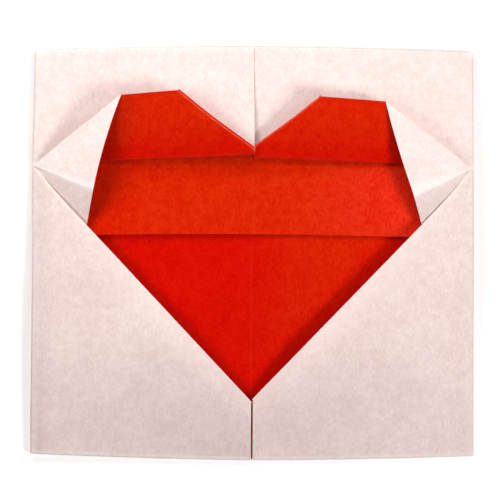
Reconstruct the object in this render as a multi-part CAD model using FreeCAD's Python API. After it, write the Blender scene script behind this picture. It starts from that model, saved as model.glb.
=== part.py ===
import FreeCAD, Part

import math
import os
from FreeCAD import Vector

# Origami heart card, folded from one square sheet that is never cut.
#
# The sheet is first made into a long strip: two doors are folded to its centre line, over a column
# that is half as wide as the sheet. The strip is then rolled flat with its doors outside: a back
# layer, a lower front section folded up over the bottom edge, and a top section folded down over
# the top edge. The tail of the top section makes the heart's two lobes and slips into the lower
# section, whose inner corners are turned under to make the heart's point.
#
# Frame: the card lies on its back, front face up (+Z), top edge towards +Y, in millimetres.
# The origin is under the middle of the card, on the surface that it lies on.

# ---------------------------------------------------------------- driving dimensions

sheet_side = 150.0            # the square sheet
paper = 0.10                  # thickness of the sheet
air = 0.10                    # air left between two layers that lie flat on each other
seam_gap = 0.5                # between the two doors, all along the centre line

lower_front = 48.3            # bottom edge to the raw end of the lower section
tail_length = 11.5            # side points to the raw end of the tail
point_rise = 1.0              # raw end of the lower section to the side points
diagonal_angle = 45.8         # degrees, the heart's lower edges from the horizontal

corner_fold_gap = 1.3         # lobe crease to the start of the fold that turns its corner under
crease_take_up = 0.5          # paper that the round of the lobe crease takes from the lobe

door_lean = 17.0              # degrees, the lower doors' rise out of their side folds
door_slope = 0.5              # degrees, what is left of it from the end of their bend to the seam
door_bend = 11.7              # over which the lower doors bend from the one to the other
rise_length = 8.0             # over which the lower doors lift from flat, above the bottom fold
side_clear = 0.6              # side fold's start to the corner that is turned under
fold_bevel = 0.55             # bevel of that fold's two edges, as a share of its radius

lobe_creases = {              # the two sides are folded by hand, so they differ a little
    "left": dict(
        point_offset=0.1, cleft_rise=1.6, tail_angle=53.2,
        lobe_tilt=18.0, ridge_angle=34.0, corner_angle=43.6,
    ),
    "right": dict(
        point_offset=-0.1, cleft_rise=1.15, tail_angle=53.85,
        lobe_tilt=17.0, ridge_angle=33.3, corner_angle=45.0,
    ),
}
# point_offset  this side's point, above the height that both are meant to have
# cleft_rise    the height of the lobe's crease at the seam, above the same
# tail_angle    degrees, the tail's inward crease below the horizontal
# lobe_tilt     degrees, how far the lobe stands up from the door under it
# ridge_angle   degrees, the soft ridge of the gusset from the tail's crease
# corner_angle  degrees, the fold of the lobe's inner corner from the lobe's crease

# ---------------------------------------------------------------- worked-out sizes

pitch = paper + air                                   # one layer to the next, mid to mid
card_width = (sheet_side + seam_gap) / 2
shoulder = (sheet_side - 2 * lower_front - tail_length - point_rise) / 2
card_height = shoulder + point_rise + lower_front
top_edge = card_height / 2
bottom_edge = -card_height / 2

back_door_z = paper / 2
back_column_z = back_door_z + pitch
lower_column_z = back_column_z + pitch
top_column_z = lower_column_z + pitch
top_door_z = top_column_z + pitch

top_axis_z = (back_column_z + top_column_z) / 2       # the strip rolls about these two lines
top_axis_y = top_edge - (top_door_z - top_axis_z) - paper / 2
bottom_axis_z = (back_column_z + lower_column_z) / 2
bottom_axis_y = bottom_edge + (bottom_axis_z - back_door_z) + paper / 2

side_x = card_width / 2 - pitch / 2 - paper / 2       # where the side folds begin
seam_x = seam_gap / 2
points_y = top_edge - shoulder
raw_tail_y = points_y - tail_length
raw_lower_y = bottom_edge + lower_front
tip_y = raw_lower_y - (side_x - seam_x) * math.tan(math.radians(diagonal_angle))
lifted_y = bottom_axis_y + rise_length


# ---------------------------------------------------------------- sheet work

def slab(points):
    """A flat facet: the polygon is its mid-surface."""
    face = Part.Face(Part.makePolygon(points + points[:1]))
    normal = face.normalAt(0, 0)
    face.translate(normal * (-paper / 2))
    return face.extrude(normal * paper)


def crease(start, end):
    """The rounded edge between two facets that share the line from start to end."""
    along = end - start
    return Part.makeCylinder(paper / 2, along.Length, start, along)


def knuckle(point):
    """The rounded point where creases meet."""
    return Part.makeSphere(paper / 2, point)


def flat_fold(start, end, towards, drop):
    """A fold right over, round a line half a pitch away: drop points to the layer that it leads to."""
    down = Vector(drop).normalize()
    thick = down * paper
    half_step = down * (pitch / 2)
    corners = [start - thick / 2, end - thick / 2, end + thick / 2, start + thick / 2]
    edge = Part.makePolygon(corners + corners[:1])
    axis = end - start
    turn = 180 if axis.cross(half_step * -1).dot(towards) > 0 else -180
    return Part.Face(edge).revolve(start + half_step, axis, turn)


def mirrored(points):
    return [Vector(-p.x, p.y, p.z) for p in points]


# ---------------------------------------------------------------- the strip's section

def door_line(depth, lean, slope):
    """A door's line in the section, depth below its mid-surface: bend start, middle, end and seam.

    Points are (x, height above the column) for the right-hand door, which leaves its side fold
    at lean and bends to slope. A door without lean is straight.
    """
    bend_end_x = side_x - door_bend
    if not lean:
        height = pitch - depth
        return [(x, height) for x in (side_x, (side_x + bend_end_x) / 2, bend_end_x, seam_x)]
    steep, shallow = math.radians(lean), math.radians(slope)
    bend_radius = door_bend / (math.sin(steep) - math.sin(shallow))
    centre = (side_x - bend_radius * math.sin(steep), pitch - bend_radius * math.cos(steep))

    def on_bend(angle):
        r = bend_radius - depth
        return (centre[0] + r * math.sin(angle), centre[1] + r * math.cos(angle))

    end = on_bend(shallow)
    seam = (seam_x, end[1] + (end[0] - seam_x) * math.tan(shallow))
    return [on_bend(steep), on_bend((steep + shallow) / 2), end, seam]


def strip_section(y, column_z, up, lean=0.0, slope=0.0):
    """The strip cut across at y: a column, two side folds and two doors.

    up is 1 where the doors are above the column and -1 where they are below it.
    """
    def at(side, point):
        return Vector(side * point[0], y, column_z + up * point[1])

    edges = []
    for depth in (-paper / 2, paper / 2):
        r = pitch / 2 - depth
        bend_start, bend_middle, bend_end, seam = door_line(depth, lean, slope)
        round_start = (side_x, pitch / 2 - r)
        half_turn = -math.radians(lean) / 2
        round_middle = (side_x + r * math.cos(half_turn), pitch / 2 + r * math.sin(half_turn))
        for side in (1, -1):
            edges.append(Part.Arc(at(side, round_start), at(side, round_middle), at(side, bend_start)))
            if lean:
                edges.append(Part.Arc(at(side, bend_start), at(side, bend_middle), at(side, bend_end)))
            else:
                edges.append(Part.LineSegment(at(side, bend_start), at(side, bend_end)))
            edges.append(Part.LineSegment(at(side, bend_end), at(side, seam)))
        edges.append(Part.LineSegment(at(-1, round_start), at(1, round_start)))
    for side in (1, -1):
        outer, inner = (door_line(depth, lean, slope)[3] for depth in (-paper / 2, paper / 2))
        edges.append(Part.LineSegment(at(side, outer), at(side, inner)))
    return Part.Wire(Part.__sortEdges__([edge.toShape() for edge in edges]))


def strip_run(section, y_to):
    face = Part.Face(section)
    return face.extrude(Vector(0, y_to - face.CenterOfMass.y, 0))


# ---------------------------------------------------------------- back layer and the two long folds

def back_layer():
    section = strip_section(bottom_axis_y, back_column_z, -1)
    return strip_run(section, top_axis_y)


def top_fold():
    section = Part.Face(strip_section(top_axis_y, back_column_z, -1))
    return section.revolve(Vector(0, top_axis_y, top_axis_z), Vector(-1, 0, 0), -180)


def bottom_fold():
    section = Part.Face(strip_section(bottom_axis_y, back_column_z, -1))
    return section.revolve(Vector(0, bottom_axis_y, bottom_axis_z), Vector(-1, 0, 0), 180)


# ---------------------------------------------------------------- lower section, the heart's point

def plan_prism(points, z_from, z_to):
    """A block that stands over a polygon in the card's plane."""
    face = Part.Face(Part.makePolygon([Vector(p.x, p.y, z_from) for p in points + points[:1]]))
    return face.extrude(Vector(0, 0, z_to - z_from))


def lower_section():
    flat = strip_section(bottom_axis_y, lower_column_z, 1)
    lifted = strip_section(lifted_y, lower_column_z, 1, door_lean, door_slope)
    rise = Part.makeLoft([flat, lifted], True, True)
    upper = strip_run(lifted, raw_lower_y)
    side, tip = Vector(-side_x, raw_lower_y, 0), Vector(-seam_x, tip_y, 0)
    window = [side, tip] + mirrored([tip, side])
    return [rise, upper.cut(plan_prism(window, lower_column_z + paper, card_height))]


def door_layer(depth_from, depth_to):
    """A layer that follows the lifted left door, between two depths below its mid-surface."""
    def at(point):
        return Vector(-point[0], lifted_y, lower_column_z + point[1])

    upper, lower = ([at(p) for p in door_line(d, door_lean, door_slope)] for d in (depth_from, depth_to))
    edges = [
        Part.Arc(*upper[:3]),
        Part.LineSegment(upper[2], upper[3]),
        Part.LineSegment(upper[3], lower[3]),
        Part.LineSegment(lower[3], lower[2]),
        Part.Arc(*lower[:3]),
        Part.LineSegment(lower[0], upper[0]),
    ]
    face = Part.Face(Part.Wire(Part.__sortEdges__([edge.toShape() for edge in edges])))
    return face.extrude(Vector(0, raw_lower_y - lifted_y, 0))


def turned_corner():
    """The left door's inner corner, turned under along the diagonal."""
    side, tip = Vector(-side_x, raw_lower_y, 0), Vector(-seam_x, tip_y, 0)
    along = (tip - side).normalize()
    under = reflected(Vector(-seam_x, raw_lower_y, 0), side, along)
    reach = -side_x + side_clear
    start = side + along * (side_clear / along.x)
    level = Vector(reach, crossing(tip, under - tip, start, Vector(0, 1, 0)).y, 0)
    layer = door_layer(pitch - paper / 2, pitch + paper / 2)
    flap = layer.common(plan_prism([start, tip, level], 0, card_height))

    # the fold goes round from the one layer to the other: a strip with both outer edges bevelled
    fold_radius = (pitch + paper) / 2
    outward = Vector(-along.y, along.x, 0)
    strip = [start, tip, tip + outward * fold_radius, start + outward * fold_radius]
    fold = door_layer(-paper / 2, pitch + paper / 2).common(plan_prism(strip, 0, card_height)).Solids[0]
    long_edges = [edge for edge in fold.Edges if edge.Length > 4 * fold_radius]
    outer_edges = [edge for edge in long_edges if (edge.CenterOfMass - start).dot(outward) > fold_radius / 2]
    return [flap, fold.makeChamfer(fold_radius * fold_bevel, outer_edges)]


# ---------------------------------------------------------------- top section, the heart's lobes

def crossing(p, along_p, q, along_q):
    """Where two lines in the card's plane cross."""
    return p + along_p * (along_q.cross(q - p).z / along_q.cross(along_p).z)


def reflected(point, p, along):
    foot = p + along * (point - p).dot(along)
    return foot * 2 - point


def heading(degrees):
    return Vector(math.cos(math.radians(degrees)), math.sin(math.radians(degrees)), 0)


def turned(vector, axis, degrees):
    return FreeCAD.Rotation(axis, degrees).multVec(vector)


def tail_points(point_offset, cleft_rise, tail_angle, lobe_tilt, ridge_angle, corner_angle):
    """Corners of one side of the tail as it stands, worked out for the left side."""
    point = Vector(-side_x, points_y + point_offset, 0)
    cleft = Vector(-seam_x, points_y + cleft_rise, 0)
    lobe_axis = (cleft - point).normalize()
    crease_slope = math.degrees(math.atan2(lobe_axis.y, lobe_axis.x))

    # folded flat: the raw end and the raw side of the door, reflected in the lobe's crease
    raw_end_y = raw_tail_y + crease_take_up
    raw_end = reflected(Vector(0, raw_end_y, 0), point, lobe_axis)
    raw_end_along = reflected(Vector(1, raw_end_y, 0), point, lobe_axis) - raw_end
    raw_side_along = reflected(cleft + Vector(0, -1, 0), point, lobe_axis) - cleft
    outer_top = crossing(point, heading(crease_slope + 90 - tail_angle), raw_end, raw_end_along)
    raw_corner = crossing(cleft, raw_side_along, raw_end, raw_end_along)
    corner_fold = cleft + raw_side_along * corner_fold_gap
    fold_along = heading(crease_slope + 180 - corner_angle)
    inner_top = crossing(corner_fold, fold_along, raw_end, raw_end_along)
    under = reflected(raw_corner, corner_fold, fold_along)
    tail_corner = crossing(point, heading(-tail_angle), Vector(0, raw_tail_y, 0), Vector(1, 0, 0))

    # the lobe stands up about its crease
    def stood(p):
        return point + turned(p - point, lobe_axis, lobe_tilt) + Vector(0, 0, top_door_z)

    upper_point = stood(point)
    lower_point = point + Vector(0, 0, top_column_z)
    outer_top_stood = stood(outer_top)
    lobe_ray = (outer_top_stood - upper_point).normalize()
    tail_ray = heading(-tail_angle)

    # the gusset keeps its flat angle, so it breaks upwards along a soft ridge
    gusset_angle = 90 + crease_slope
    to_lobe = math.cos(math.radians(gusset_angle - ridge_angle))
    to_tail = math.cos(math.radians(ridge_angle))
    between = lobe_ray.dot(tail_ray)
    share = 1 - between * between
    along_lobe = (to_lobe - between * to_tail) / share
    along_tail = (to_tail - between * to_lobe) / share
    ridge_ray = lobe_ray * along_lobe + tail_ray * along_tail
    outward = tail_ray.cross(lobe_ray).normalize()
    if outward.z < 0:
        outward = outward * -1
    ridge_ray = ridge_ray + outward * math.sqrt(1 - ridge_ray.dot(ridge_ray))
    flat_tail = heading(0) * (tail_corner - point).Length
    flat_lobe = heading(gusset_angle) * (outer_top - point).Length
    ridge_end = crossing(Vector(), heading(ridge_angle), flat_tail, flat_lobe - flat_tail)

    return dict(
        upper_point=upper_point,
        lower_point=lower_point,
        cleft=stood(cleft),
        corner_fold=stood(corner_fold),
        inner_top=stood(inner_top),
        outer_top=outer_top_stood,
        under=stood(under),
        ridge_end=upper_point + ridge_ray * ridge_end.Length,
        tail_corner=tail_corner + Vector(0, 0, top_column_z),
        lobe_down=turned(Vector(0, 0, -1), lobe_axis, lobe_tilt),
    )


def tail_side(p):
    """One side of the top section: door, side fold, lobe with its corner turned under, and gusset."""
    door = slab([
        Vector(-side_x, top_axis_y, top_door_z),
        Vector(-seam_x, top_axis_y, top_door_z),
        p["cleft"],
        p["upper_point"],
    ])
    side_top = Vector(-side_x, top_axis_y, top_door_z)
    side_fold = flat_fold(p["upper_point"], side_top, Vector(-1, 0, 0), Vector(0, 0, -1))
    lobe = slab([p["upper_point"], p["cleft"], p["corner_fold"], p["inner_top"], p["outer_top"]])
    middle = (p["outer_top"] + p["upper_point"]) / 2
    away = p["corner_fold"] - middle
    corner = flat_fold(p["corner_fold"], p["inner_top"], away, p["lobe_down"])
    flap = slab([q + p["lobe_down"] * pitch for q in (p["corner_fold"], p["inner_top"], p["under"])])
    gusset = [
        slab([p["upper_point"], p["outer_top"], p["ridge_end"]]),
        slab([p["lower_point"], p["ridge_end"], p["tail_corner"]]),
        slab([p["upper_point"], p["ridge_end"], p["lower_point"]]),
    ]
    creases = [
        crease(p[start], p[end])
        for start, end in (
            ("upper_point", "cleft"),
            ("upper_point", "outer_top"),
            ("upper_point", "ridge_end"),
            ("lower_point", "ridge_end"),
            ("lower_point", "tail_corner"),
            ("lower_point", "upper_point"),
        )
    ]
    knuckles = [knuckle(p[name]) for name in ("upper_point", "lower_point", "outer_top", "ridge_end")]
    return [door, side_fold, lobe, corner, flap] + gusset + creases + knuckles


def top_column(left, right):
    edge = [Vector(-side_x, top_axis_y, top_column_z), left["lower_point"], left["tail_corner"]]
    back = mirrored([right["tail_corner"], right["lower_point"]])
    return slab(edge + back + [Vector(side_x, top_axis_y, top_column_z)])


def across(shapes):
    return [s.mirror(Vector(0, 0, 0), Vector(1, 0, 0)) for s in shapes]


# ---------------------------------------------------------------- the folded sheet

left = tail_points(**lobe_creases["left"])
right = tail_points(**lobe_creases["right"])
facets = [back_layer(), top_fold(), bottom_fold()] + lower_section()
facets += turned_corner() + across(turned_corner())
facets += [top_column(left, right)] + tail_side(left) + across(tail_side(right))

folded_sheet = facets[0]
for facet in facets[1:]:
    folded_sheet = folded_sheet.fuse(facet)

os.makedirs("parts", exist_ok=True)
folded_sheet.exportStep("parts/folded_sheet.step")

print("solids", len(folded_sheet.Solids), "valid", folded_sheet.isValid())
print("paper used, mm2:", round(folded_sheet.Volume / paper), "of", round(sheet_side ** 2))
box = folded_sheet.optimalBoundingBox()
print("box", box.XMin, box.XMax, box.YMin, box.YMax, box.ZMin, box.ZMax)
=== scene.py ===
import math
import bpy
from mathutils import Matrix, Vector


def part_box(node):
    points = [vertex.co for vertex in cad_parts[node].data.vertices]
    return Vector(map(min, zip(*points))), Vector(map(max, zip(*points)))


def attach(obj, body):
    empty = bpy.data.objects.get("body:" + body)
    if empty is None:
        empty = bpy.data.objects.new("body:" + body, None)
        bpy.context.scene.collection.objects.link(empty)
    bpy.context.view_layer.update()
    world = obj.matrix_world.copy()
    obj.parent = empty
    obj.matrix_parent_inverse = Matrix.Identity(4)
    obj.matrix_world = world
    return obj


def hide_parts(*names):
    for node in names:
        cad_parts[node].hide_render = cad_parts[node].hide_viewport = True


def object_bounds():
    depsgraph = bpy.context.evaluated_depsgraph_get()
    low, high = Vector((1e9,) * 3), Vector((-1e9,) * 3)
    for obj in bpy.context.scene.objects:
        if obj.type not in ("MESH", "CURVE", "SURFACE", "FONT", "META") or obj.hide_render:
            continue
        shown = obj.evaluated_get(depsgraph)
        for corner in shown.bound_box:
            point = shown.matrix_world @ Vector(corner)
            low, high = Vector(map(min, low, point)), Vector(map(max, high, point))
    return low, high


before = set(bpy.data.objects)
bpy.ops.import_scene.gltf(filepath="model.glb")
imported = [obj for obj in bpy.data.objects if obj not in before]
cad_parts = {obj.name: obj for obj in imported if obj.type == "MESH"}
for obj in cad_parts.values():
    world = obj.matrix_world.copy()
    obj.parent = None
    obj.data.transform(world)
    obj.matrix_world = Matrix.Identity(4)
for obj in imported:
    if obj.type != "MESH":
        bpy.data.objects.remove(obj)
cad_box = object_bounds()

from types import SimpleNamespace

import bmesh
import bpy
import numpy as np
from mathutils import Vector

# The origami heart card's looks. The CAD sheet is replaced by one mesh of the same folded sheet,
# with the soft bends, bowed edges and paper surface that the solid leaves out.
# Lengths are in millimetres, with the names of the part's source, until the mesh is made.

# ---------------------------------------------------------------- the source's dimensions

sheet_side = 150.0
paper = 0.10
air = 0.10
seam_gap = 0.5

lower_front = 48.3
tail_length = 11.5
point_rise = 1.0

door_lean = 17.0
door_slope = 0.5
door_bend = 11.7
rise_length = 21.0      # 8.0 in the source: the real doors leave their bottom fold more softly
side_clear = 0.6

pitch = paper + air
card_width = (sheet_side + seam_gap) / 2
shoulder = (sheet_side - 2 * lower_front - tail_length - point_rise) / 2
card_height = shoulder + point_rise + lower_front
top_edge = card_height / 2
bottom_edge = -card_height / 2

back_door_z = paper / 2
back_column_z = back_door_z + pitch
lower_column_z = back_column_z + pitch
top_column_z = lower_column_z + pitch
top_door_z = top_column_z + pitch

top_axis_z = (back_column_z + top_column_z) / 2
top_axis_y = top_edge - (top_door_z - top_axis_z) - paper / 2
bottom_axis_z = (back_column_z + lower_column_z) / 2
bottom_axis_y = bottom_edge + (bottom_axis_z - back_door_z) + paper / 2

side_x = card_width / 2 - pitch / 2 - paper / 2
seam_x = seam_gap / 2
points_y = top_edge - shoulder
raw_tail_y = points_y - tail_length
raw_lower_y = bottom_edge + lower_front

# ---------------------------------------------------------------- what the two sides don't share

# The folds:
# point_offset      this side's point, above the height that both are meant to have
# cleft_rise        the height of the lobe's crease at the seam, above the same
# tail_angle        degrees, the tail's inward crease below the horizontal
# lobe_tilt         degrees, how far the lobe stands up from the door under it
# ridge_angle       degrees, the soft ridge of the gusset from the tail's crease
# corner_angle      degrees, the fold of the lobe's inner corner from the lobe's crease
# corner_fold_gap   lobe crease to the start of that fold
# crease_take_up    paper that the round of the lobe crease takes from the lobe
# diagonal_angle    degrees, the lower door's folded edge from the horizontal
# diagonal_start    the side fold to where that edge leaves the raw end
# door_rise         the lower door's lean, as a share of door_lean
#
# What the hand that folded it left:
# seam_top, seam_cleft, seam_back     the doors' raw edges from their true place, at three heights
# crease_lift       the lobe's crease off the column, between the point and the cleft
# seam_lift         how far the top door's raw edge stands up at the cleft
# tail_drop         the tail's corner below its true place
# ridge_reach       the ridge's length, as a share of its true one
# ridge_width       the ridge's blunt end at the raw edge, towards the lobe and towards the band
# edge_bow          the gusset's raw edge from a straight line, outwards
# facet_bulge       the gusset's lower facet, its middle from the flat
#
# The paper's looks, as class Sheet has them:
# crease_wear, corner_wear, inner_wear     the lobe's crease and the fold of its corner, and
#                   the painted highlight line just inside that fold
# shade_under_gusset, shade_under_lobe     painted shade on the top door beside the gusset and beside the lobe
# shade_beside_gusset     painted shade on the lobe and the band beside the gusset's raw edge
# shade_beside_door       painted shade on the column beside the lower door's folded edge
# gusset_tone       the painted shade line on the gusset's upper fold, as a share of a side fold's tone
# facet_tone        painted shade on the gusset's lower facet
# side_tone, bottom_tone     painted shade on the lower door beside its side fold, and towards its bottom
LEFT = dict(
    point_offset=0.1, cleft_rise=1.6, tail_angle=52.9, lobe_tilt=18.0, ridge_angle=34.0,
    corner_angle=41.4, corner_fold_gap=1.1, crease_take_up=0.5,
    diagonal_angle=46.64, diagonal_start=0.44, door_rise=1.0,
    seam_top=0.24, seam_cleft=0.42, seam_back=0.06, crease_lift=0.75, seam_lift=0.55,
    tail_drop=0.2, ridge_reach=1.0, ridge_width=(0.24, 0.08), edge_bow=0.38, facet_bulge=0.05,
    crease_wear=0.14, corner_wear=0.05, inner_wear=0.6,
    shade_under_gusset=0.8, shade_under_lobe=0.8, shade_beside_gusset=1.0, shade_beside_door=1.0,
    gusset_tone=0.5, facet_tone=0.0, side_tone=0.8, bottom_tone=0.65,
)
RIGHT = dict(
    point_offset=-0.08, cleft_rise=1.15, tail_angle=54.6, lobe_tilt=17.0, ridge_angle=33.3,
    corner_angle=40.9, corner_fold_gap=2.0, crease_take_up=0.86,
    diagonal_angle=46.08, diagonal_start=0.28, door_rise=1.05,
    seam_top=0.20, seam_cleft=0.10, seam_back=0.15, crease_lift=0.45, seam_lift=-0.05,
    tail_drop=0.3, ridge_reach=1.03, ridge_width=(0.70, 0.14), edge_bow=-0.20, facet_bulge=0.40,
    crease_wear=0.10, corner_wear=0.42, inner_wear=0.0,
    shade_under_gusset=0.3, shade_under_lobe=0.65, shade_beside_gusset=0.0, shade_beside_door=0.7,
    gusset_tone=1.0, facet_tone=0.5, side_tone=0.1, bottom_tone=0.45,
)

# ---------------------------------------------------------------- what they share

LOBE_BULGE = 0.30       # the lobe's middle from the flat: steep at its crease, easing to its raw end
CREASE_RADIUS = 0.14    # of the round lobe crease, at the seam
CORNER_RADIUS = 0.16    # of the fold that turns the lobe's corner under
GUSSET_RADIUS = 0.10    # of the gusset's own creases, at the raw edge
CREASE_BOW = 0.55       # the lobes' creases above a straight line
TAIL_BOW = 0.36         # the tail's raw end, its middle above its corners
TAIL_LIFT = 0.50        # the tail's raw end off the lower column, at the left
CORNER_RISE = 1.05      # the lower section's raw end at its sides, above its true place
CORNER_FADE = 1.3       # over which a lower door's raw end comes down from there
FRONT_INSET = 0.24      # the front layers' sides inside the back layer's
SIDE_LIFT = 0.90        # the card's sides off the table
SIDE_BOW = 0.25         # the left side's bow outwards, by the point
FOLD_BOW = 0.45         # the long folds' middle outside a straight line
TOP_DROP = 0.80         # the top fold's ends below its middle
BOTTOM_RISE = 0.95      # the bottom fold's ends above its middle
BOTTOM_REACH = 3.0      # how far the bottom fold's bow reaches into the card
WAVE = 0.10             # the soft waves of the whole card, from their mean

CREASE_REACH = 14.0     # how far a lobe crease's lift reaches up the door
BOW_REACH = 9.0         # how far its bow reaches to both sides
SEAM_REACH = 10.0       # how far the lift of a top door's raw edge reaches from the seam
TOP_REACH = 4.0         # over which a top door leaves its flat place, below the top fold

# old creases down the column, by their x, with how worn each is and how wide: the long one is on
# the lower section and the tail, the short one only on the tail
LONG_CREASE, SHORT_CREASE = -0.26, 0.60
CENTRE_WEAR = {LONG_CREASE: 0.09, SHORT_CREASE: 0.06}
CENTRE_WIDTH = 0.2

POCKET_REACH = 2.8      # how far the painted shade reaches from a lobe or gusset over its door
DOOR_REACH = 2.4        # from a lower door over the column
GUSSET_REACH = 5.0      # from a gusset's raw edge over the lobe
BAND_REACH = 13.0       # from it over the band: this much at the points and none at the raw end
COLUMN_REACH = 6.0      # how far the column's colour is painted deepest beside a lower door, as shade
FOLDED_EDGE = 55.0      # length of a lower door's folded edge, to just past the seam

BOTTOM_TONE_TOP = -16.0     # the height where the painted shade on the lower doors begins, deepening towards the bottom
BOTTOM_TONE_DEPTH = 18.0    # over which they do
PALE_REACH = 8.0            # how far a lower door is paler beside its folded edge
PALE_START = 22.0           # over which that comes in from the side fold
SIDE_REACH = 4.0            # how far the painted shade on a lower door reaches from its side fold

# Looks across the round of a fold, one value for each of its points. The side and top folds'
# tones paint shade along the outer folds of the front layers, darkest in their middle, and the
# corner fold's tone and shade paint shade on its outer part.
CREASE_WEAR = np.array([0.0, 0.0, 0.0, 0.4, 1.0, 1.0, 0.45])
CORNER_WEAR = np.array([0.8, 1.0, 0.5, 0.0, 0.0, 0.0, 0.0])
CORNER_TONE = np.array([0.4, 0.4, 0.7, 1.0, 1.0, 1.0, 1.0])
CORNER_SHADE = np.array([0.0, 0.0, 0.5, 1.0, 1.0, 1.0, 1.0])
SIDE_TONE = np.array([0.0, 1.0, 2.0, 2.0, 2.0, 1.2, 0.3])
TOP_TONE = np.array([0.0, 0.0, 1.0, 2.0, 2.0, 2.0, 1.2, 0.2, 0.0])

# Cells of the grids. The stations across a door serve along the tail's rays too. They lie close
# together at the end, so that the painted highlight line there stays narrow.
DOOR_SHARES = np.append(np.arange(30) / 30, (0.985, 0.9945, 1.0))
COLUMN_CELLS = 96
BACK_CELLS = 36
LOWER_CELLS = 64
TOP_CELLS = 20
SEAM_CELLS = 2
CORNER_CELLS = 14
LOBE_END_CELLS = 9
FACET_CELLS = 10
FLAP_CELLS = 22
CORNER_FLAP_CELLS = 10
ARC_CELLS = 6
ROLL_CELLS = 8


# ---------------------------------------------------------------- grids of the sheet's mid-surface

# points in one step are the same point, and the steps' borders keep off round figures
WELD_STEP, WELD_OFFSET = 0.001, 0.000271


class Sheet:
    """Grids of points, with the paper's looks at each; weld() joins them into one sheet.

    Wear and the painted highlight are 0 to 1. Tone is -1 where the paper's colour is palest, 1
    where it is deepest and 2 where a fold is also painted dark as shade; its pale and deep ends
    mostly paint light and shade. Painted shade is 0 to 1, and lies in the pockets beside raised
    edges, where their shade falls.
    """

    def __init__(self):
        self.points, self.faces = [], []
        self.looks = {"fold_wear": [], "tone": [], "dull": []}

    def grid(self, rows, wear=0.0, tone=0.0, dull=0.0):
        rows = np.asarray(rows, float)
        count, width = rows.shape[:2]
        base = sum(len(p) for p in self.points)
        self.points.append(rows.reshape(-1, 3))
        for kept, value in zip(self.looks.values(), (wear, tone, dull)):
            kept.append(np.broadcast_to(np.asarray(value, float), (count, width)).reshape(-1))
        for i in range(count - 1):
            for j in range(width - 1):
                a = base + i * width + j
                self.faces.append((a, a + 1, a + width + 1, a + width))

    def weld(self):
        """Points in the same place become one: returns the points, their looks and the faces.

        Where grids meet, the strongest fold line of them counts, and the mean of the other looks.
        """
        points = np.concatenate(self.points)
        keys = np.round((points + WELD_OFFSET) / WELD_STEP).astype(np.int64)
        _, first, place = np.unique(keys, axis=0, return_index=True, return_inverse=True)
        place = place.reshape(-1)
        looks = {}
        for name, values in self.looks.items():
            looks[name] = np.bincount(place, np.concatenate(values)) / np.bincount(place)
        looks["fold_wear"] = np.zeros(len(first))
        np.maximum.at(looks["fold_wear"], place, np.concatenate(self.looks["fold_wear"]))
        faces = []
        for face in self.faces:
            corners = []
            for corner in (int(place[c]) for c in face):
                if corner not in corners:
                    corners.append(corner)
            if len(corners) > 2:
                faces.append(corners)
        return points[first], looks, faces


def vec(*values):
    return np.array(values, float)


UP = vec(0, 0, 1)


def unit(v):
    return v / np.linalg.norm(v)


def lerp(a, b, t):
    return a + (b - a) * t


def between(a, b, cells):
    """Points from one point to another, or rows of a grid from one line of points to another."""
    a, b = np.asarray(a), np.asarray(b)
    return [lerp(a, b, i / cells) for i in range(cells + 1)]


def rays(start, end):
    """Rows of a grid from one point or line to another, at the door's stations."""
    return np.array([lerp(np.asarray(start), np.asarray(end), t) for t in DOOR_SHARES])


def smoothed(t):
    t = np.clip(t, 0, 1)
    return t * t * (3 - 2 * t)


def fading(distance, reach):
    """1 at no distance, and softly down to 0 at the reach."""
    return smoothed(1 - distance / reach)


def arched(t):
    """0 at both ends and 1 in the middle."""
    return 4 * t * (1 - t)


def mirrored(rows):
    return np.asarray(rows) * vec(-1, 1, 1)


def near(rows, corners, reach):
    """1 on a path of straight runs, seen from above, and softly down to 0 at the reach."""
    flat = np.asarray(rows)[..., :2]
    nearest = np.full(flat.shape[:-1], np.inf)
    for a, b in zip(corners, corners[1:]):
        run = (b - a)[:2]
        t = np.clip((flat - a[:2]) @ run / (run @ run), 0, 1)
        off_run = np.linalg.norm(flat - a[:2] - t[..., None] * run, axis=-1)
        nearest = np.minimum(nearest, off_run)
    return fading(nearest, reach)


def heading(degrees):
    return vec(math.cos(math.radians(degrees)), math.sin(math.radians(degrees)), 0)


def crossing(p, along_p, q, along_q):
    """Where two lines meet, seen from above, as a point of the first."""
    def cross(a, b):
        return a[0] * b[1] - a[1] * b[0]
    return p + along_p * (cross(along_q, q - p) / cross(along_q, along_p))


def reflected(point, p, along):
    """The point's mirror image in the line through p."""
    foot = p + along * ((point - p) @ along)
    return foot * 2 - point


def turned(v, axis, degrees):
    a = math.radians(degrees)
    cos, sin = math.cos(a), math.sin(a)
    return v * cos + np.cross(axis, v) * sin + axis * (axis @ v) * (1 - cos)


def bend(start, end, into, normal, beyond, radius):
    """A crease rounded like a cone, from a point at start to radius at end.

    into points from the crease into the first facet, normal to the side that the second one lies on,
    and beyond to a point of the second facet. Returns the cone's rows and where the second facet ends.
    """
    along = unit(end - start)
    second = beyond - start
    second = unit(second - along * (second @ along))
    full = math.pi - math.acos(min(max(into @ second, -1.0), 1.0))
    arc = []
    for k in range(ARC_CELLS + 1):
        a = full * k / ARC_CELLS
        arc.append(end + radius * (normal * (1 - math.cos(a)) - into * math.sin(a)))
    return rays(start, arc), arc[-1]


# ---------------------------------------------------------------- the strip

def column_stations():
    """The grid's places across the column, with three at each old crease."""
    xs = set(np.round(np.linspace(-side_x, side_x, COLUMN_CELLS + 1), 6))
    for x in CENTRE_WEAR:
        xs |= {round(x - CENTRE_WIDTH / 2, 6), x, round(x + CENTRE_WIDTH / 2, 6)}
    return sorted(xs)


def column_wear(*creases):
    return [CENTRE_WEAR[x] if x in creases else 0.0 for x in column_stations()]


def across_column(left, right):
    """The column's line from one side fold to the other."""
    return [lerp(left, right, (x + side_x) / (2 * side_x)) for x in column_stations()]


def column_row(y, z):
    return across_column(vec(-side_x, y, z), vec(side_x, y, z))


def door_stations(seam_edge):
    return lerp(-side_x, seam_edge, DOOR_SHARES)


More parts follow.
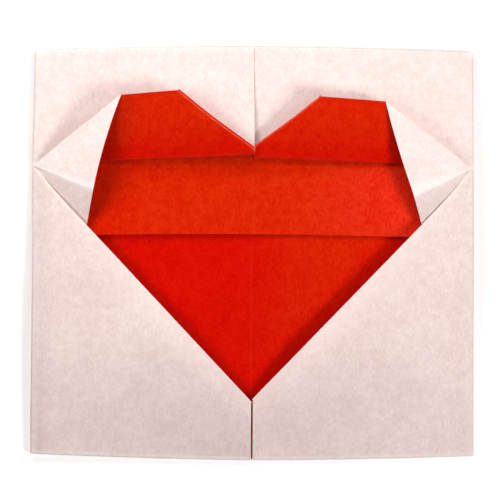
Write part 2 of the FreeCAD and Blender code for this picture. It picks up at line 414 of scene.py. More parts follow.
def side_arc(y, column_z, up):
    """The left side fold at y, from the column to the door above it (up 1) or below it (up -1)."""
    out = []
    for k in range(ARC_CELLS + 1):
        a = math.pi * k / ARC_CELLS
        z = column_z + up * pitch / 2 * (1 - math.cos(a))
        out.append(vec(-side_x - pitch / 2 * math.sin(a), y, z))
    return out


def rolled(points, axis_y, axis_z, outward):
    """Points of the back layer carried half round one of the two long folds."""
    rows = []
    for k in range(ROLL_CELLS + 1):
        a = math.pi * k / ROLL_CELLS
        row = []
        for p in points:
            r = axis_z - p[2]
            row.append(vec(p[0], axis_y + outward * r * math.sin(a), axis_z - r * math.cos(a)))
        rows.append(row)
    return rows


def over_top(points):
    return rolled(points, top_axis_y, top_axis_z, 1)


def under_bottom(points):
    return rolled(points, bottom_axis_y, bottom_axis_z, -1)


def back_and_folds(sheet, sides):
    """The back layer, and the two long folds that carry it round to the front."""
    bottom_row, top_row = (column_row(y, back_column_z) for y in (bottom_axis_y, top_axis_y))
    sheet.grid(between(bottom_row, top_row, BACK_CELLS))
    sheet.grid(over_top(top_row), wear=0.5)
    sheet.grid(under_bottom(bottom_row), wear=0.5)
    ys = np.linspace(bottom_axis_y, top_axis_y, BACK_CELLS + 1)
    for side, flip in sides:
        arcs = [side_arc(y, back_column_z, -1) for y in ys]
        sheet.grid(flip(arcs), wear=0.5)
        sheet.grid(flip(over_top(arcs[-1])), wear=0.6)
        sheet.grid(flip(under_bottom(arcs[0])), wear=0.6)
        top_xs, bottom_xs = (door_stations(-seam_x + side[key]) for key in ("seam_top", "seam_back"))
        top = [vec(x, top_axis_y, back_door_z) for x in top_xs]
        bottom = [vec(x, bottom_axis_y, back_door_z) for x in bottom_xs]
        sheet.grid(flip(between(bottom, top, BACK_CELLS)))
        # painted shade: the top fold's round is darker in its middle
        sheet.grid(flip(over_top(top)), wear=0.1, tone=TOP_TONE[:, None])
        sheet.grid(flip(under_bottom(bottom)), wear=0.5)


# ---------------------------------------------------------------- the lower section, the heart's point

def door_height(x, rise):
    """A lifted door's height above its flat place, at distance x from its side fold."""
    steep, shallow = math.radians(door_lean * rise), math.radians(door_slope)
    radius = door_bend / (math.sin(steep) - math.sin(shallow))
    if x < door_bend:
        angle = math.asin(math.sin(steep) - x / radius)
        return radius * (math.cos(angle) - math.cos(steep))
    bent = radius * (math.cos(shallow) - math.cos(steep))
    return bent + (x - door_bend) * math.tan(shallow)


def diagonal(side):
    """The door's folded edge on the left side: where it starts, its direction and its slope."""
    slope = math.tan(math.radians(side["diagonal_angle"]))
    return vec(-side_x + side["diagonal_start"], raw_lower_y, 0), unit(vec(1, -slope, 0)), slope


def lower_section(sheet, sides):
    """The lower column, its colour painted deepest at its left and beside its doors as shade, and its
    two doors.
    """
    ys = np.linspace(bottom_axis_y, raw_lower_y + CORNER_RISE, LOWER_CELLS + 1)
    rows = [column_row(y, lower_column_z) for y in ys]
    # painted shade: the column's red is deepest at its left
    paler = 0.75 * smoothed(0.2 + np.array(column_stations()) / 16)
    tone, dull = 1 - paler, np.zeros((len(rows), len(paler)))
    for side, flip in sides:
        start, along, _ = diagonal(side)
        folded_edge = (start, start + along * FOLDED_EDGE)
        # painted shade beside each lower door's folded edge: deepest red, and darker nearest it
        tone = lerp(tone, 1, near(flip(rows), folded_edge, COLUMN_REACH))
        dull = np.maximum(dull, side["shade_beside_door"] * near(flip(rows), folded_edge, DOOR_REACH))
    sheet.grid(rows, column_wear(LONG_CREASE), tone, dull)
    for side, flip in sides:
        # painted shade: a dark line along the side fold's outer round
        sheet.grid(flip([side_arc(y, lower_column_z, 1) for y in ys]), wear=0.2, tone=SIDE_TONE)
        lower_door(sheet, side, flip)


def lower_door(sheet, side, flip):
    """A lifted door, the fold along its diagonal and the corner that the fold turns under."""
    (start_x, _, _), along, slope = diagonal(side)
    outward = vec(-along[1], along[0], 0)
    under = reflected(vec(0, 1, 0), vec(0, 0, 0), along)

    def lifted(x, y):
        share = smoothed((y - bottom_axis_y) / rise_length)
        from_fold = max(x + side_x, 0.0)
        return lower_column_z + pitch + share * door_height(from_fold, side["door_rise"])

    def edge_y(x):
        rise = CORNER_RISE * math.exp(-(x + side_x) / CORNER_FADE)
        return raw_lower_y - max(x - start_x, 0.0) * slope + rise

    xs = door_stations(-seam_x + side["seam_back"])
    edge_ys = np.array([edge_y(x) for x in xs])
    rows = []
    for ys in between(bottom_axis_y, edge_ys, LOWER_CELLS):
        rows.append([vec(x, y, lifted(x, y)) for x, y in zip(xs, ys)])
    sheet.grid(flip(rows), tone=lower_door_tone(np.array(rows), xs, edge_ys, start_x, side))

    arcs, flaps = [], []
    for x, y in zip(xs, edge_ys):
        edge = vec(x, y, lifted(x, y))
        folded = max(x - start_x, 0.0)
        r = pitch / 2 * min(folded / side_clear, 1.0)
        arc = []
        for a in np.linspace(0, math.pi, ARC_CELLS + 1):
            arc.append(edge + outward * r * math.sin(a) - vec(0, 0, r * (1 - math.cos(a))))
        arcs.append(arc)
        room = max((x + side_x - side_clear) / -under[0], 0.0)
        flap = []
        for t in np.linspace(0, 1, FLAP_CELLS + 1):
            p = edge + under * min(folded * slope, room) * t
            p[2] = lifted(p[0], p[1]) - 2 * r
            flap.append(p)
        flaps.append(flap)
    sheet.grid(flip(arcs), wear=0.35, tone=-0.5)
    sheet.grid(flip(flaps))


def lower_door_tone(rows, xs, edge_ys, start_x, side):
    """Painted shade: deeper at the bottom, mostly by the seam, and at the side fold. Paler along the
    folded edge.
    """
    downwards = smoothed((BOTTOM_TONE_TOP - rows[..., 1]) / BOTTOM_TONE_DEPTH)
    inwards = smoothed(1 + rows[..., 0] / side_x)
    at_bottom = downwards * (side["bottom_tone"] + 0.5 * inwards)
    at_edge = fading(edge_ys - rows[..., 1], PALE_REACH) * smoothed((xs - start_x) / PALE_START)
    at_side = side["side_tone"] * fading(xs + side_x, SIDE_REACH)
    return at_bottom - at_edge + at_side


# ---------------------------------------------------------------- the top section, the heart's lobes

def ridge_direction(lobe_ray, tail_ray, gusset_angle, ridge_angle):
    """Where the gusset's ridge points: at the flat sheet's angles from both its sides, and upwards."""
    to_lobe = math.cos(math.radians(gusset_angle - ridge_angle))
    to_tail = math.cos(math.radians(ridge_angle))
    shared = lobe_ray @ tail_ray
    apart = 1 - shared * shared
    lobe_share = (to_lobe - shared * to_tail) / apart
    tail_share = (to_tail - shared * to_lobe) / apart
    level = lobe_ray * lobe_share + tail_ray * tail_share
    outward = unit(np.cross(tail_ray, lobe_ray))
    if outward[2] < 0:
        outward = -outward
    return level + outward * math.sqrt(1 - level @ level)


def top_corners(side):
    """Corners of one side of the tail as it stands, worked out for the left side as in the source."""
    point = vec(-side_x, points_y + side["point_offset"], 0)
    cleft = vec(-seam_x + side["seam_cleft"], points_y + side["cleft_rise"], 0)
    lobe_axis = unit(cleft - point)
    crease_slope = math.degrees(math.atan2(lobe_axis[1], lobe_axis[0]))
    gusset_angle = 90 + crease_slope
    tail_ray = heading(-side["tail_angle"])

    # the tail's raw end and sides, turned over the lobe's crease
    raw_end_y = raw_tail_y + side["crease_take_up"]
    raw_end = reflected(vec(0, raw_end_y, 0), point, lobe_axis)
    raw_end_along = reflected(vec(1, raw_end_y, 0), point, lobe_axis) - raw_end
    raw_side_along = reflected(cleft + vec(0, -1, 0), point, lobe_axis) - cleft
    outer_ray = heading(gusset_angle - side["tail_angle"])
    outer_top = crossing(point, outer_ray, raw_end, raw_end_along)
    raw_corner = crossing(cleft, raw_side_along, raw_end, raw_end_along)
    corner_fold = cleft + raw_side_along * side["corner_fold_gap"]
    fold_along = heading(crease_slope + 180 - side["corner_angle"])
    inner_top = crossing(corner_fold, fold_along, raw_end, raw_end_along)
    under = reflected(raw_corner, corner_fold, fold_along)
    tail_end = vec(0, raw_tail_y - side["tail_drop"], 0)
    tail_corner = crossing(point, tail_ray, tail_end, vec(1, 0, 0))

    def stood(p):
        return point + turned(p - point, lobe_axis, side["lobe_tilt"]) + UP * top_door_z

    # the gusset's ridge, as long as it is on the flat sheet
    flat_tail = heading(0) * np.linalg.norm(tail_corner - point)
    flat_lobe = heading(gusset_angle) * np.linalg.norm(outer_top - point)
    flat_ridge = heading(side["ridge_angle"])
    ridge_end = crossing(vec(0, 0, 0), flat_ridge, flat_tail, flat_lobe - flat_tail)
    ridge_length = np.linalg.norm(ridge_end) * side["ridge_reach"]
    lobe_ray = unit(stood(outer_top) - stood(point))
    ridge = ridge_direction(lobe_ray, tail_ray, gusset_angle, side["ridge_angle"])
    return SimpleNamespace(
        lobe_axis=lobe_axis,
        lobe_up=turned(UP, lobe_axis, side["lobe_tilt"]),
        upper_point=stood(point),
        lower_point=point + UP * top_column_z,
        cleft=cleft + UP * top_door_z,
        corner_fold=stood(corner_fold),
        inner_top=stood(inner_top),
        outer_top=stood(outer_top),
        under=stood(under),
        ridge_end=stood(point) + ridge * ridge_length,
        tail_corner=tail_corner + UP * top_column_z,
    )


class TopSide:
    """One side of the top section, worked out for the left one: door, lobe, its corner and gusset."""

    def __init__(self, sheet, side, flip):
        self.sheet, self.side, self.flip = sheet, side, flip
        self.corners = p = top_corners(side)
        self.upper, self.lower = p.upper_point, p.lower_point
        self.lobe_back = np.cross(p.lobe_up, p.lobe_axis)
        self.lobe_depth = (p.outer_top - self.upper) @ self.lobe_back
        # the round of the lobe's crease moves the lobe's inner corner almost as far as its seam end
        door_back = vec(-p.lobe_axis[1], p.lobe_axis[0], 0)
        self.crease, self.seam_end = bend(
            self.upper, p.cleft, door_back, UP, p.inner_top, CREASE_RADIUS)
        moved = (self.seam_end - p.cleft) * 0.9
        self.corner_fold = p.corner_fold + moved
        self.under = p.under + moved * 0.5

    def lay(self, rows, **looks):
        self.sheet.grid(self.flip(rows), **looks)

    def up_lobe(self, rows):
        """How far up the lobe points lie: 0 at its crease, 1 at its outer top corner."""
        return (rows - self.upper) @ self.lobe_back / self.lobe_depth

    def raised(self, rows):
        """The door and lobe, standing up towards their crease and the seam, with the crease bowed."""
        rows = np.array(rows)
        x, y = rows[..., 0], rows[..., 1]
        cleft_y = self.corners.cleft[1]
        inwards = 1 + x / side_x
        above_crease = y - lerp(self.upper[1], cleft_y, inwards)
        near_cleft = smoothed((top_axis_y - y) / (top_axis_y - cleft_y))
        at_crease = smoothed(1.6 * inwards) * np.clip(1 - above_crease / CREASE_REACH, 0, 1) ** 2
        at_seam = fading(-(x + seam_x), SEAM_REACH) * near_cleft
        rise = self.side["crease_lift"] * at_crease + self.side["seam_lift"] * at_seam
        bow = CREASE_BOW * smoothed(2.4 * inwards) * fading(np.abs(above_crease), BOW_REACH)
        rows[..., 2] += rise * np.clip((top_axis_y - y) / TOP_REACH, 0, 1)
        rows[..., 1] += bow
        return rows

    def bulged(self, rows):
        rows = np.array(rows)
        height = LOBE_BULGE * arched(np.clip(self.up_lobe(rows), 0, 1))
        return rows + self.corners.lobe_up * height[..., None]

    def on_lobe(self, rows):
        return self.raised(self.bulged(rows))

    def add_door(self):
        """The flat door above the lobe, with its side fold."""
        p, side = self.corners, self.side
        top = [vec(x, top_axis_y, top_door_z) for x in door_stations(-seam_x + side["seam_top"])]
        door = between(top, rays(self.upper, p.cleft), TOP_CELLS)
        # painted shade on the door beside the gusset's upper fold and the lobe's edges
        by_gusset = near(door, (self.upper, p.outer_top), POCKET_REACH)
        by_lobe = near(door, (p.outer_top, p.inner_top, p.corner_fold), POCKET_REACH)
        dull = np.maximum(side["shade_under_gusset"] * by_gusset, side["shade_under_lobe"] * by_lobe)
        self.lay(self.raised(door), dull=dull)
        ys = np.linspace(top_axis_y, self.upper[1], TOP_CELLS + 1)
        # painted shade: a dark line along the side fold's outer round
        self.lay([side_arc(y, top_column_z, 1) for y in ys], wear=0.2, tone=SIDE_TONE)

    def add_lobe(self):
        """The lobe's crease, then the lobe as a fan from the point."""
        p, side = self.corners, self.side
        crease = np.array(self.crease)
        crease[:, -1] = self.bulged(crease[:, -1])
        # painted shade: the crease's round is deep and darker, besides its wear
        self.lay(self.raised(crease), wear=side["crease_wear"] * CREASE_WEAR, tone=1.0, dull=0.3)

        far = between(self.seam_end, self.corner_fold, SEAM_CELLS)[:-1]
        far += between(self.corner_fold, p.inner_top, CORNER_CELLS)[:-1]
        far += between(p.inner_top, p.outer_top, LOBE_END_CELLS)
        fan = rays(self.upper, far)
        up_lobe = self.up_lobe(fan)
        # painted shade: the lobe's red is deepest by its crease and less deep towards its raw end
        tone = 0.9 - 0.7 * smoothed(up_lobe / 0.6)
        # painted shade on the lobe beside the gusset's raw edge, weaker towards its raw end
        by_gusset = near(fan, (p.outer_top, p.tail_corner), GUSSET_REACH)
        dull = side["shade_beside_gusset"] * by_gusset * (1 - 0.4 * up_lobe)
        wear = np.zeros(fan.shape[:2])
        # painted highlight: a light line just inside the corner's fold, in the worn colour
        wear[-2, SEAM_CELLS:SEAM_CELLS + CORNER_CELLS + 1] = side["inner_wear"]
        self.lay(self.on_lobe(fan), wear=wear, tone=tone, dull=dull)

    def add_corner(self):
        """The lobe's inner corner, turned under."""
        p, side = self.corners, self.side
        fold = between(self.corner_fold, p.inner_top, CORNER_CELLS)
        away = np.cross(unit(p.inner_top - self.corner_fold), p.lobe_up)
        if away @ (self.upper - self.corner_fold) > 0:
            away = -away
        down, r = -p.lobe_up, CORNER_RADIUS
        turn = np.linspace(0, math.pi, ARC_CELLS + 1)
        arc = [down * r * (1 - math.cos(a)) + away * r * math.sin(a) for a in turn]
        arcs = [[q + step for step in arc] for q in fold]
        # painted shade: the outer part of the corner's fold is deeper and darker
        wear = side["corner_wear"] * CORNER_WEAR
        self.lay(self.on_lobe(arcs), wear=wear, tone=CORNER_TONE, dull=CORNER_SHADE)
        drop = down * 2 * r
        flap = [between(q + drop, self.under + drop, CORNER_FLAP_CELLS) for q in fold]
        self.lay(self.on_lobe(flap))

    def add_gusset(self):
        """Two facets with a blunt ridge between them, which grows out of the side fold."""
        p, side = self.corners, self.side
        ridge_up = p.ridge_end + unit(p.outer_top - p.ridge_end) * side["ridge_width"][0]
        ridge_low = p.ridge_end + unit(p.tail_corner - p.ridge_end) * side["ridge_width"][1]
        share = np.linspace(0, 1, FACET_CELLS + 1)
        # the side fold's round closes on its middle as it goes over into the ridge and the facets
        left_over = 1 - DOOR_SHARES
        closing = (left_over * (1 - left_over ** 3))[:, None, None]
        middle = (self.upper + self.lower) / 2
        fold_round = np.array(side_arc(self.upper[1], top_column_z, 1))
        t = (np.arange(ARC_CELLS + 1) / ARC_CELLS)[:, None]
        blunt = ridge_low * (1 - t) ** 2 + p.ridge_end * 2 * t * (1 - t) + ridge_up * t * t
        ridge = rays(fold_round, blunt) - closing * (fold_round - middle)
        # the ridge is worn, and painted paler as a highlight
        self.lay(ridge, wear=1.0, tone=-1)

        # the upper crease and facet, on the lobe
        outer_along = unit(p.outer_top - self.upper)
        into_lobe = p.inner_top - self.upper
        into_lobe = unit(into_lobe - outer_along * (into_lobe @ outer_along))
        cone, lobe_end = bend(
            self.upper, p.outer_top, into_lobe, p.lobe_up, p.ridge_end, GUSSET_RADIUS)
        # painted shade: a dark line along the gusset's upper fold
        self.lay(self.on_lobe(cone), wear=0.2, tone=side["gusset_tone"] * SIDE_TONE)
        raw_edge = np.array(between(lobe_end, ridge_up, FACET_CELLS))
        raw_edge[:, 0] -= side["edge_bow"] * arched(share)
        facet = rays(self.upper, raw_edge)
        carried = self.on_lobe(facet[:, :1]) - facet[:, :1]
        facet += carried * (1 - share)[None, :, None]
        facet -= closing * (self.upper - middle) * share[None, :, None]
        # painted light: the upper facet is paler
        self.lay(facet, tone=-0.9)

        # the lower crease and facet, on the band
        into_band = np.cross(UP, unit(p.tail_corner - self.lower))
        cone, band_end = bend(
            self.lower, p.tail_corner, into_band, UP, p.ridge_end, GUSSET_RADIUS)
        self.lay(cone, wear=0.2)
        facet = rays(self.lower, between(band_end, ridge_low, FACET_CELLS))
        bulge = side["facet_bulge"] * arched(share)[None]
        facet[..., 2] += bulge * smoothed(2 - 2 * left_over)[:, None]
        facet -= closing * (self.lower - middle) * share[None, :, None]
        # painted shade on the lower facet
        self.lay(facet, tone=side["facet_tone"])


def top_section(sheet, sides):
    """Both sides of the top section, the column behind them and the tail's band between them."""
    halves = [TopSide(sheet, side, flip) for side, flip in sides]
    for half in halves:
        half.add_door()
        half.add_lobe()
        half.add_corner()
        half.add_gusset()
    left, right = (half.corners for half in halves)
    points = across_column(left.lower_point, mirrored(right.lower_point))
    sheet.grid(between(column_row(top_axis_y, top_column_z), points, TOP_CELLS))

    band = rays(points, across_column(left.tail_corner, mirrored(right.tail_corner)))
    down = DOOR_SHARES[:, None]
    across = band[..., 0] / side_x
    half_width = np.minimum(band[:, -1:, 0], -band[:, :1, 0])
    middle = 1 - np.clip(np.abs(band[..., 0]) / half_width, 0, 1) ** 2
    band[..., 1] += TAIL_BOW * middle * down ** 2
    band[..., 2] += TAIL_LIFT * down ** 2 * (1 - 0.5 * smoothed(across + 0.5))
    # painted shade on the band just below the lobes' crease, weaker to the right
    by_crease = (1 - 0.8 * smoothed(across / 0.5)) * fading(down, 0.25)
    gusset_edge = (left.outer_top, left.tail_corner)
    reach = BAND_REACH * (1 - down) + 0.01      # never quite 0
    by_gusset = near(band, gusset_edge, reach)
    # painted shade, deeper at the left, and a painted sheen, paler at the right
    tone = 0.4 * smoothed((-across - 0.35) / 0.4) - 0.6 * smoothed(across / 0.8)
    # painted shade beside the left gusset's raw edge and below the crease
    dull = np.maximum(LEFT["shade_beside_gusset"] * 0.8 * by_gusset, 0.45 * by_crease)
    sheet.grid(band, column_wear(*CENTRE_WEAR), tone + 0.3 * by_crease, dull)


# ---------------------------------------------------------------- the paper as one piece

WHITE_SLOT, RED_SLOT, EDGE_SLOT = range(3)      # in the order that the materials are given
scene = bpy.context.scene


def middle_surface(points, faces):
    """The sheet's mid-surface, with its faces turned towards the white side."""
    middle = bmesh.new()
    for p in points:
        middle.verts.new(p)
    middle.verts.ensure_lookup_table()
    for corners in faces:
        middle.faces.new([middle.verts[c] for c in corners])
    bmesh.ops.recalc_face_normals(middle, faces=middle.faces)
    middle.normal_update()
    middle.verts.index_update()
    middle.faces.ensure_lookup_table()
    # the card's underside is white and faces down
    lowest = min(middle.faces, key=lambda f: f.calc_center_median().z)
    if lowest.normal.z > 0:
        bmesh.ops.reverse_faces(middle, faces=middle.faces)
        middle.normal_update()
    return middle


def paper_mesh(points, looks, faces, scale):
    """The mid-surface, given its thickness: white side, coloured side and the raw edge."""
    middle = middle_surface(points, faces)
    count = len(middle.verts)
    at = np.array([v.co[:] for v in middle.verts])
    out = np.array([v.normal[:] for v in middle.verts]) * paper / 2
    verts = np.concatenate([at + out, at - out]) * scale
    shell, slots = [], []
    for f in middle.faces:
        corners = [v.index for v in f.verts]
        shell.append(corners)
        slots.append(WHITE_SLOT)
        shell.append([c + count for c in reversed(corners)])
        slots.append(RED_SLOT)
    for e in middle.edges:
        if len(e.link_faces) == 1:
            loop = e.link_loops[0]
            a, b = loop.vert.index, loop.link_loop_next.vert.index
            shell.append([b, a, a + count, b + count])
            slots.append(EDGE_SLOT)
    middle.free()
    mesh = bpy.data.meshes.new("folded_paper")
    mesh.from_pydata(verts.tolist(), [], shell)
    mesh.polygons.foreach_set("material_index", slots)
    mesh.polygons.foreach_set("use_smooth", [True] * len(shell))
    for name, values in looks.items():
        attribute = mesh.attributes.new(name, "FLOAT", "POINT")
        attribute.data.foreach_set("value", np.tile(values, 2))
    mesh.update()
    mesh.set_sharp_from_angle(angle=math.radians(28))
    return mesh


def shaped_by_hand(points):
    """The small departures of a card folded by hand, the same for all layers at a place."""
    x, y, z = points.T.copy()
    out = np.abs(x) / (card_width / 2)
    # the long folds bow outwards between the sides
    towards_top = np.clip((y - points_y) / (top_edge - points_y), 0, 1) ** 2
    towards_bottom = np.clip(1 - (y - bottom_edge) / BOTTOM_REACH, 0, 1) ** 2
    top_bow = FOLD_BOW - TOP_DROP * out ** 1.7
    bottom_bow = FOLD_BOW - BOTTOM_RISE * out ** 1.7
    y = y + towards_top * top_bow - towards_bottom * bottom_bow
    # the front layers are a little narrower than the back one
    front_share = smoothed((z - back_column_z) / pitch)
    x = x - np.sign(x) * FRONT_INSET * front_share * smoothed((out - 0.8) / 0.2)
    # the left side bows outwards by the point
    by_point = np.exp(-((y - points_y) / 12) ** 2)
    x = x - SIDE_BOW * by_point * smoothed((-x / side_x - 0.6) / 0.4)
    # the whole card lies slightly wavy, with its sides off the table in their middle
    highest_y = 8 * np.sign(x) - 6
    z = z + WAVE * (1 + np.sin(x / 13 + 0.8) * np.cos(y / 17 - 0.4))
    z = z + SIDE_LIFT * out ** 6 * np.exp(-((y - highest_y) / 20) ** 2)
    return np.stack([x, y, z], axis=1)


def added(name, data):
    thing = bpy.data.objects.new(name, data)
    scene.collection.objects.link(thing)
    return thing


sheet = Sheet()
sides = ((LEFT, np.asarray), (RIGHT, mirrored))
back_and_folds(sheet, sides)
lower_section(sheet, sides)
top_section(sheet, sides)
points, looks, faces = sheet.weld()
points = shaped_by_hand(points)

low, high = (Vector(corner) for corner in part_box("folded_sheet"))
scale = (high.x - low.x) / card_width
points[:, 2] += low.z / scale - (points[:, 2].min() - paper / 2)

card = added("folded_paper", paper_mesh(points, looks, faces, scale))


# ---------------------------------------------------------------- materials

# a colour mix's sockets, by their place: the names are shared with its sockets for other kinds
MIX_SHARE, MIX_A, MIX_B, MIX_RESULT = 0, 6, 7, 2


def nodes_of(name):
    material = bpy.data.materials.new(name)
    material.use_nodes = True
    tree = material.node_tree
    return material, tree, tree.nodes["Principled BSDF"]


def add(tree, kind, **values):
    """A new node, with its settings or its inputs set by their names."""
    node = tree.nodes.new(kind)
    for key, value in values.items():
        if hasattr(node, key):
            setattr(node, key, value)
        else:
            node.inputs[key.replace("_", " ")].default_value = value
    return node


def feed(tree, socket, value):
    """Another node's output goes into the socket, or a plain number or colour."""
    if isinstance(value, bpy.types.NodeSocket):
        tree.links.new(value, socket)
    elif isinstance(value, tuple):
        socket.default_value = (*value, 1)
    else:
        socket.default_value = value


def noise_of(tree, place, scale, detail, roughness=0.55):
    node = add(tree, "ShaderNodeTexNoise", Scale=scale, Detail=detail, Roughness=roughness)
    feed(tree, node.inputs["Vector"], place)
    return node.outputs["Fac"]


def ramp(tree, value, low, high):
    """0 where the value is low and 1 where it is high."""
    node = add(tree, "ShaderNodeMapRange", From_Min=low, From_Max=high)
    feed(tree, node.inputs["Value"], value)
    return node.outputs["Result"]


def blend(tree, share, a, b, **settings):
    node = add(tree, "ShaderNodeMix", data_type="RGBA", **settings)
    feed(tree, node.inputs[MIX_A], a)
    feed(tree, node.inputs[MIX_B], b)
    feed(tree, node.inputs[MIX_SHARE], share)
    return node.outputs[MIX_RESULT]


def times(tree, a, b):
    node = add(tree, "ShaderNodeMath", operation="MULTIPLY")
    feed(tree, node.inputs[0], a)
    feed(tree, node.inputs[1], b)
    return node.outputs[0]


def toned(tree, colour, share, factors):
    """The colour, times the factors where the share is 1."""
    product = blend(tree, 1.0, colour, factors, blend_type="MULTIPLY", clamp_result=True)
    return blend(tree, share, colour, product)


def look(tree, name):
    return add(tree, "ShaderNodeAttribute", attribute_name=name).outputs["Fac"]


AS_IT_IS = (1, 1, 1)


def paper_side(name, light, dark, worn_and_highlit, cloudy, roughness, specular,
               pale=AS_IT_IS, deep=AS_IT_IS, fold_shade=AS_IT_IS, dull=AS_IT_IS):
    """One side of the paper.

    Its colour is mottled from light to dark, more or less cloudy. It is multiplied by pale, deep,
    fold shade and painted shade where the sheet's looks say so, which mostly paint light and
    shade, and goes over to its fold colour on the rubbed folds and the painted highlight line.
    """
    material, tree, shader = nodes_of(name)
    place = add(tree, "ShaderNodeTexCoord").outputs["Object"]
    clouds = ramp(tree, noise_of(tree, place, scale=150, detail=3), 0.3, 0.7)
    mottle = ramp(tree, noise_of(tree, place, scale=700, detail=4, roughness=0.7), 0.36, 0.64)
    along_fibres = add(tree, "ShaderNodeMapping", Scale=(1.0, 0.45, 1.0))
    feed(tree, along_fibres.inputs["Vector"], place)
    stretched = along_fibres.outputs["Vector"]
    fine = ramp(tree, noise_of(tree, stretched, scale=3600, detail=3, roughness=0.7), 0.38, 0.62)
    tint = blend(tree, 0.45, times(tree, mottle, 0.8), fine)
    tint = blend(tree, cloudy, tint, clouds)
    colour = blend(tree, tint, light, dark)
    tone = look(tree, "tone")
    colour = toned(tree, colour, ramp(tree, tone, 0, -1), pale)
    colour = toned(tree, colour, ramp(tree, tone, 0, 1), deep)
    colour = toned(tree, colour, ramp(tree, tone, 1, 2), fold_shade)
    colour = toned(tree, colour, look(tree, "dull"), dull)
    broken = ramp(tree, noise_of(tree, place, scale=900, detail=4, roughness=0.7), 0.1, 0.65)
    colour = blend(tree, times(tree, look(tree, "fold_wear"), broken), colour, worn_and_highlit)
    feed(tree, shader.inputs["Base Color"], colour)
    shader.inputs["Roughness"].default_value = roughness
    shader.inputs["Specular IOR Level"].default_value = specular
    bump = add(tree, "ShaderNodeBump", Strength=0.22, Distance=0.00006)
    feed(tree, bump.inputs["Height"], fine)
    feed(tree, shader.inputs["Normal"], bump.outputs["Normal"])
    return material


# painted light and shade in the white's factors: pale lightens the gusset and its ridge and the lower
# doors' paler strips; deep, fold shade and painted shade darken where shade falls
white = paper_side(
    "white_side", light=(0.995, 0.83, 0.795), dark=(0.795, 0.605, 0.575), worn_and_highlit=(0.98, 0.93, 0.90),
    cloudy=0.25, roughness=0.85, specular=0.2, pale=(1.14, 1.11, 1.11), deep=(0.87, 0.867, 0.875),
    fold_shade=(0.72, 0.68, 0.68), dull=(0.80, 0.775, 0.79))
# painted light and shade in the red's factors: deep is the red as it looks in shade, painted shade a
# browner red in the pockets, and pale a painted sheen
red = paper_side(
    "red_side", light=(0.748, 0.0345, 0.0032), dark=(0.615, 0.0035, 0.0), worn_and_highlit=(0.90, 0.20, 0.10),
    cloudy=0.12, roughness=0.8, specular=0.0, pale=(1.25, 1.45, 8.0), deep=(1.01, 0.27, 0.8),
    dull=(0.70, 0.85, 0.9))
edge = paper_side(
    "raw_edge", light=(0.62, 0.13, 0.10), dark=(0.50, 0.07, 0.05), worn_and_highlit=(0.9, 0.8, 0.8),
    cloudy=0.25, roughness=0.9, specular=0.1)
for material in (white, red, edge):
    card.data.materials.append(material)

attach(card, "root")
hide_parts("folded_sheet")


# ---------------------------------------------------------------- floor, lamps and camera, in metres

FLOOR_HALF = 3.0
FLOOR_DROP = 0.00005                    # the floor below the card
FLOOR_GLOW = 0.28                       # its glow on the near side
GLOW_FAR, GLOW_NEAR = 0.040, -0.046     # where the glow starts and where it is full

table = cad_box[0][2]
centre = (Vector(cad_box[0]) + Vector(cad_box[1])) / 2
centre.z = table

floor_mesh = bpy.data.meshes.new("floor")
floor_corners = [(x * FLOOR_HALF, y * FLOOR_HALF, 0) for x, y in ((-1, -1), (1, -1), (1, 1), (-1, 1))]
floor_mesh.from_pydata(floor_corners, [], [(0, 1, 2, 3)])
floor = added("floor", floor_mesh)
floor.location = (centre.x, centre.y, table - FLOOR_DROP)
floor_material, floor_tree, floor_shader = nodes_of("pale_floor")
floor_shader.inputs["Base Color"].default_value = (0.97, 0.97, 0.97, 1)
floor_shader.inputs["Roughness"].default_value = 0.9
floor_shader.inputs["Emission Color"].default_value = (1.0, 1.0, 1.0, 1)
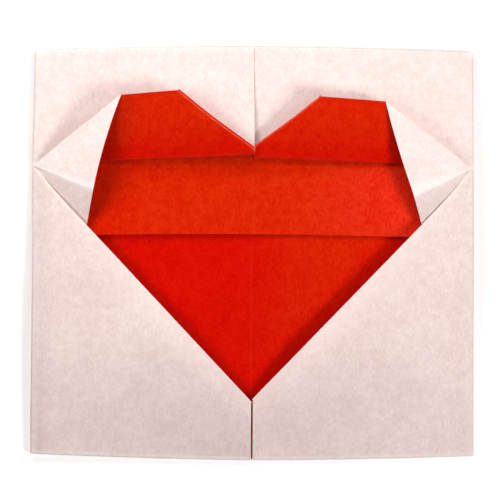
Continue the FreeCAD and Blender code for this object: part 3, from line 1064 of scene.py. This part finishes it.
# the lamps stand near the far side, so the floor glows more towards the near side to stay evenly white
floor_place = add(floor_tree, "ShaderNodeSeparateXYZ")
feed(floor_tree, floor_place.inputs[0], add(floor_tree, "ShaderNodeTexCoord").outputs["Object"])
glow = times(floor_tree, ramp(floor_tree, floor_place.outputs["Y"], GLOW_FAR, GLOW_NEAR), FLOOR_GLOW)
feed(floor_tree, floor_shader.inputs["Emission Strength"], glow)
floor_mesh.materials.append(floor_material)


def towards(azimuth, elevation, distance):
    """A place as seen from the card: degrees from its right side and from the table, and metres."""
    a, e = math.radians(azimuth), math.radians(elevation)
    level = distance * math.cos(e)
    return Vector((level * math.cos(a), level * math.sin(a), distance * math.sin(e)))


def lamp(name, place, size, power, colour):
    """A round soft lamp that shines on the card."""
    data = bpy.data.lights.new(name, "AREA")
    data.shape = "DISK"
    data.size = size
    data.energy = power
    data.color = colour
    light = added(name, data)
    light.location = centre + place
    light.rotation_euler = (-place).to_track_quat("-Z", "Y").to_euler()


NEUTRAL, WARM = (1.0, 0.99, 0.99), (1.0, 0.985, 0.955)
lamp("lamp_right", towards(-26, 36.5, 0.40), size=0.13, power=1.02, colour=NEUTRAL)
lamp("lamp_left", towards(178, 35, 0.30), size=0.13, power=0.345, colour=NEUTRAL)
lamp("window_left", towards(118, 26, 0.155), size=0.09, power=0.108, colour=WARM)
lamp("window_right", towards(72, 40, 0.155), size=0.09, power=0.098, colour=WARM)

world = bpy.data.worlds.new("studio")
world.use_nodes = True
background = world.node_tree.nodes["Background"]
background.inputs["Color"].default_value = (1.0, 0.99, 0.98, 1)
background.inputs["Strength"].default_value = 0.02
scene.world = world
scene.view_settings.view_transform = "Standard"

CAMERA_HEIGHT, CAMERA_TILT, CAMERA_ROLL = 0.350, math.radians(3.15), math.radians(0.33)
FRAME_WIDTH = 0.0853        # what the picture shows of the table, from side to side
SENSOR = 36.0

camera_data = bpy.data.cameras.new("camera")
camera_data.sensor_width = SENSOR
camera_data.lens = SENSOR * CAMERA_HEIGHT / FRAME_WIDTH
camera_data.shift_x = -0.0062
camera_data.shift_y = 0.0046
camera_data.clip_start = 0.01
camera = added("camera", camera_data)
camera.location = centre + Vector(
    (0, -CAMERA_HEIGHT * math.sin(CAMERA_TILT), CAMERA_HEIGHT * math.cos(CAMERA_TILT)))
camera.rotation_euler = (CAMERA_TILT, 0, 0)
camera.rotation_euler.rotate_axis("Z", CAMERA_ROLL)
scene.camera = camera
